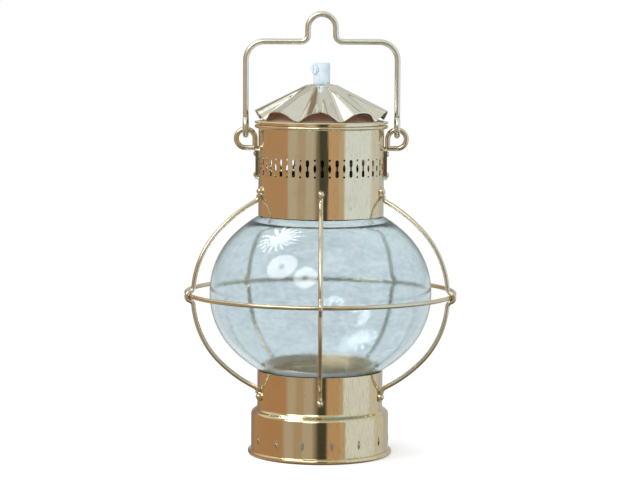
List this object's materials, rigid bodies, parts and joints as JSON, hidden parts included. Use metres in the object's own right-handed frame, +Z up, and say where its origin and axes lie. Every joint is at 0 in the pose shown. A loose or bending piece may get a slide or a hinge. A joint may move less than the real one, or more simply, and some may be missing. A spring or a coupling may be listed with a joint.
{
  "type": "hanging globe lantern",
  "caption": "Brass onion lantern with a wire-guarded glass globe, pierced chimney, fluted crown, swinging bail, twist-out bottom tray and a lampholder inside.",
  "frame": {"origin": "centre of the foot, on the surface that the lantern stands on", "axes": "+Z up along the lantern's axis, +X to the right seen from the front, the front faces -Y"},
  "size_m": [0.1992, 0.2024, 0.3239],
  "materials": {
    "polished_brass": "polished, with fine upright brush lines",
    "wire_brass": "polished rod",
    "inner_brass": "plain",
    "copper": "polished copper",
    "steel": "zinc plated",
    "globe_glass": "clear, blown, lightly rippled",
    "gasket_rubber": "matt",
    "white_nylon": "translucent satin",
    "black_bakelite": "satin",
    "porcelain": "glazed ceramic"
  },
  "bodies": {
    "lantern": {"base_shell": "polished_brass", "tray_clips": "inner_brass", "lower_glass_ring": "inner_brass", "lower_gasket": "gasket_rubber", "globe": "globe_glass", "upper_gasket": "gasket_rubber", "upper_glass_ring": "inner_brass", "chimney": "polished_brass", "cover_ring": "polished_brass", "heat_baffle": "copper", "crown": "polished_brass", "cross_bar": "steel", "threaded_tube": "inner_brass", "lock_nuts": "inner_brass", "grip_washer": "inner_brass", "cord_grip": "white_nylon", "cord_grip_screw": "white_nylon", "lampholder_cap": "black_bakelite", "lampholder_shell": "black_bakelite", "porcelain_insert": "porcelain", "lamp_screw_shell": "inner_brass", "lamp_contacts": "inner_brass", "terminal_screws": "steel", "bail_lug_left": "wire_brass", "bail_lug_right": "wire_brass", "lug_rivets": "wire_brass", "guard_wire_1": "wire_brass", "guard_wire_2": "wire_brass", "guard_wire_3": "wire_brass", "guard_wire_4": "wire_brass", "guard_wire_5": "wire_brass", "guard_hoop": "wire_brass", "guard_rivets_top": "wire_brass", "guard_rivets_bottom": "wire_brass"},
    "bail": {"bail": "wire_brass"},
    "tray": {"tray_skirt": "inner_brass", "tray_dish": "inner_brass", "tray_grip": "inner_brass", "tray_grip_rivets": "inner_brass"}
  },
  "joints": [
    {"name": "bail_swing", "type": "hinge", "parent": "lantern", "child": "bail", "pos_m": [0, 0, 0.2381], "axis": [1, 0, 0], "range_deg": [-125, 125]},
    {"name": "tray_twist", "type": "hinge", "parent": "lantern", "child": "tray", "pos_m": [0, 0, 0.0381], "axis": [0, 0, 1], "range_deg": [0, 25]}
  ]
}
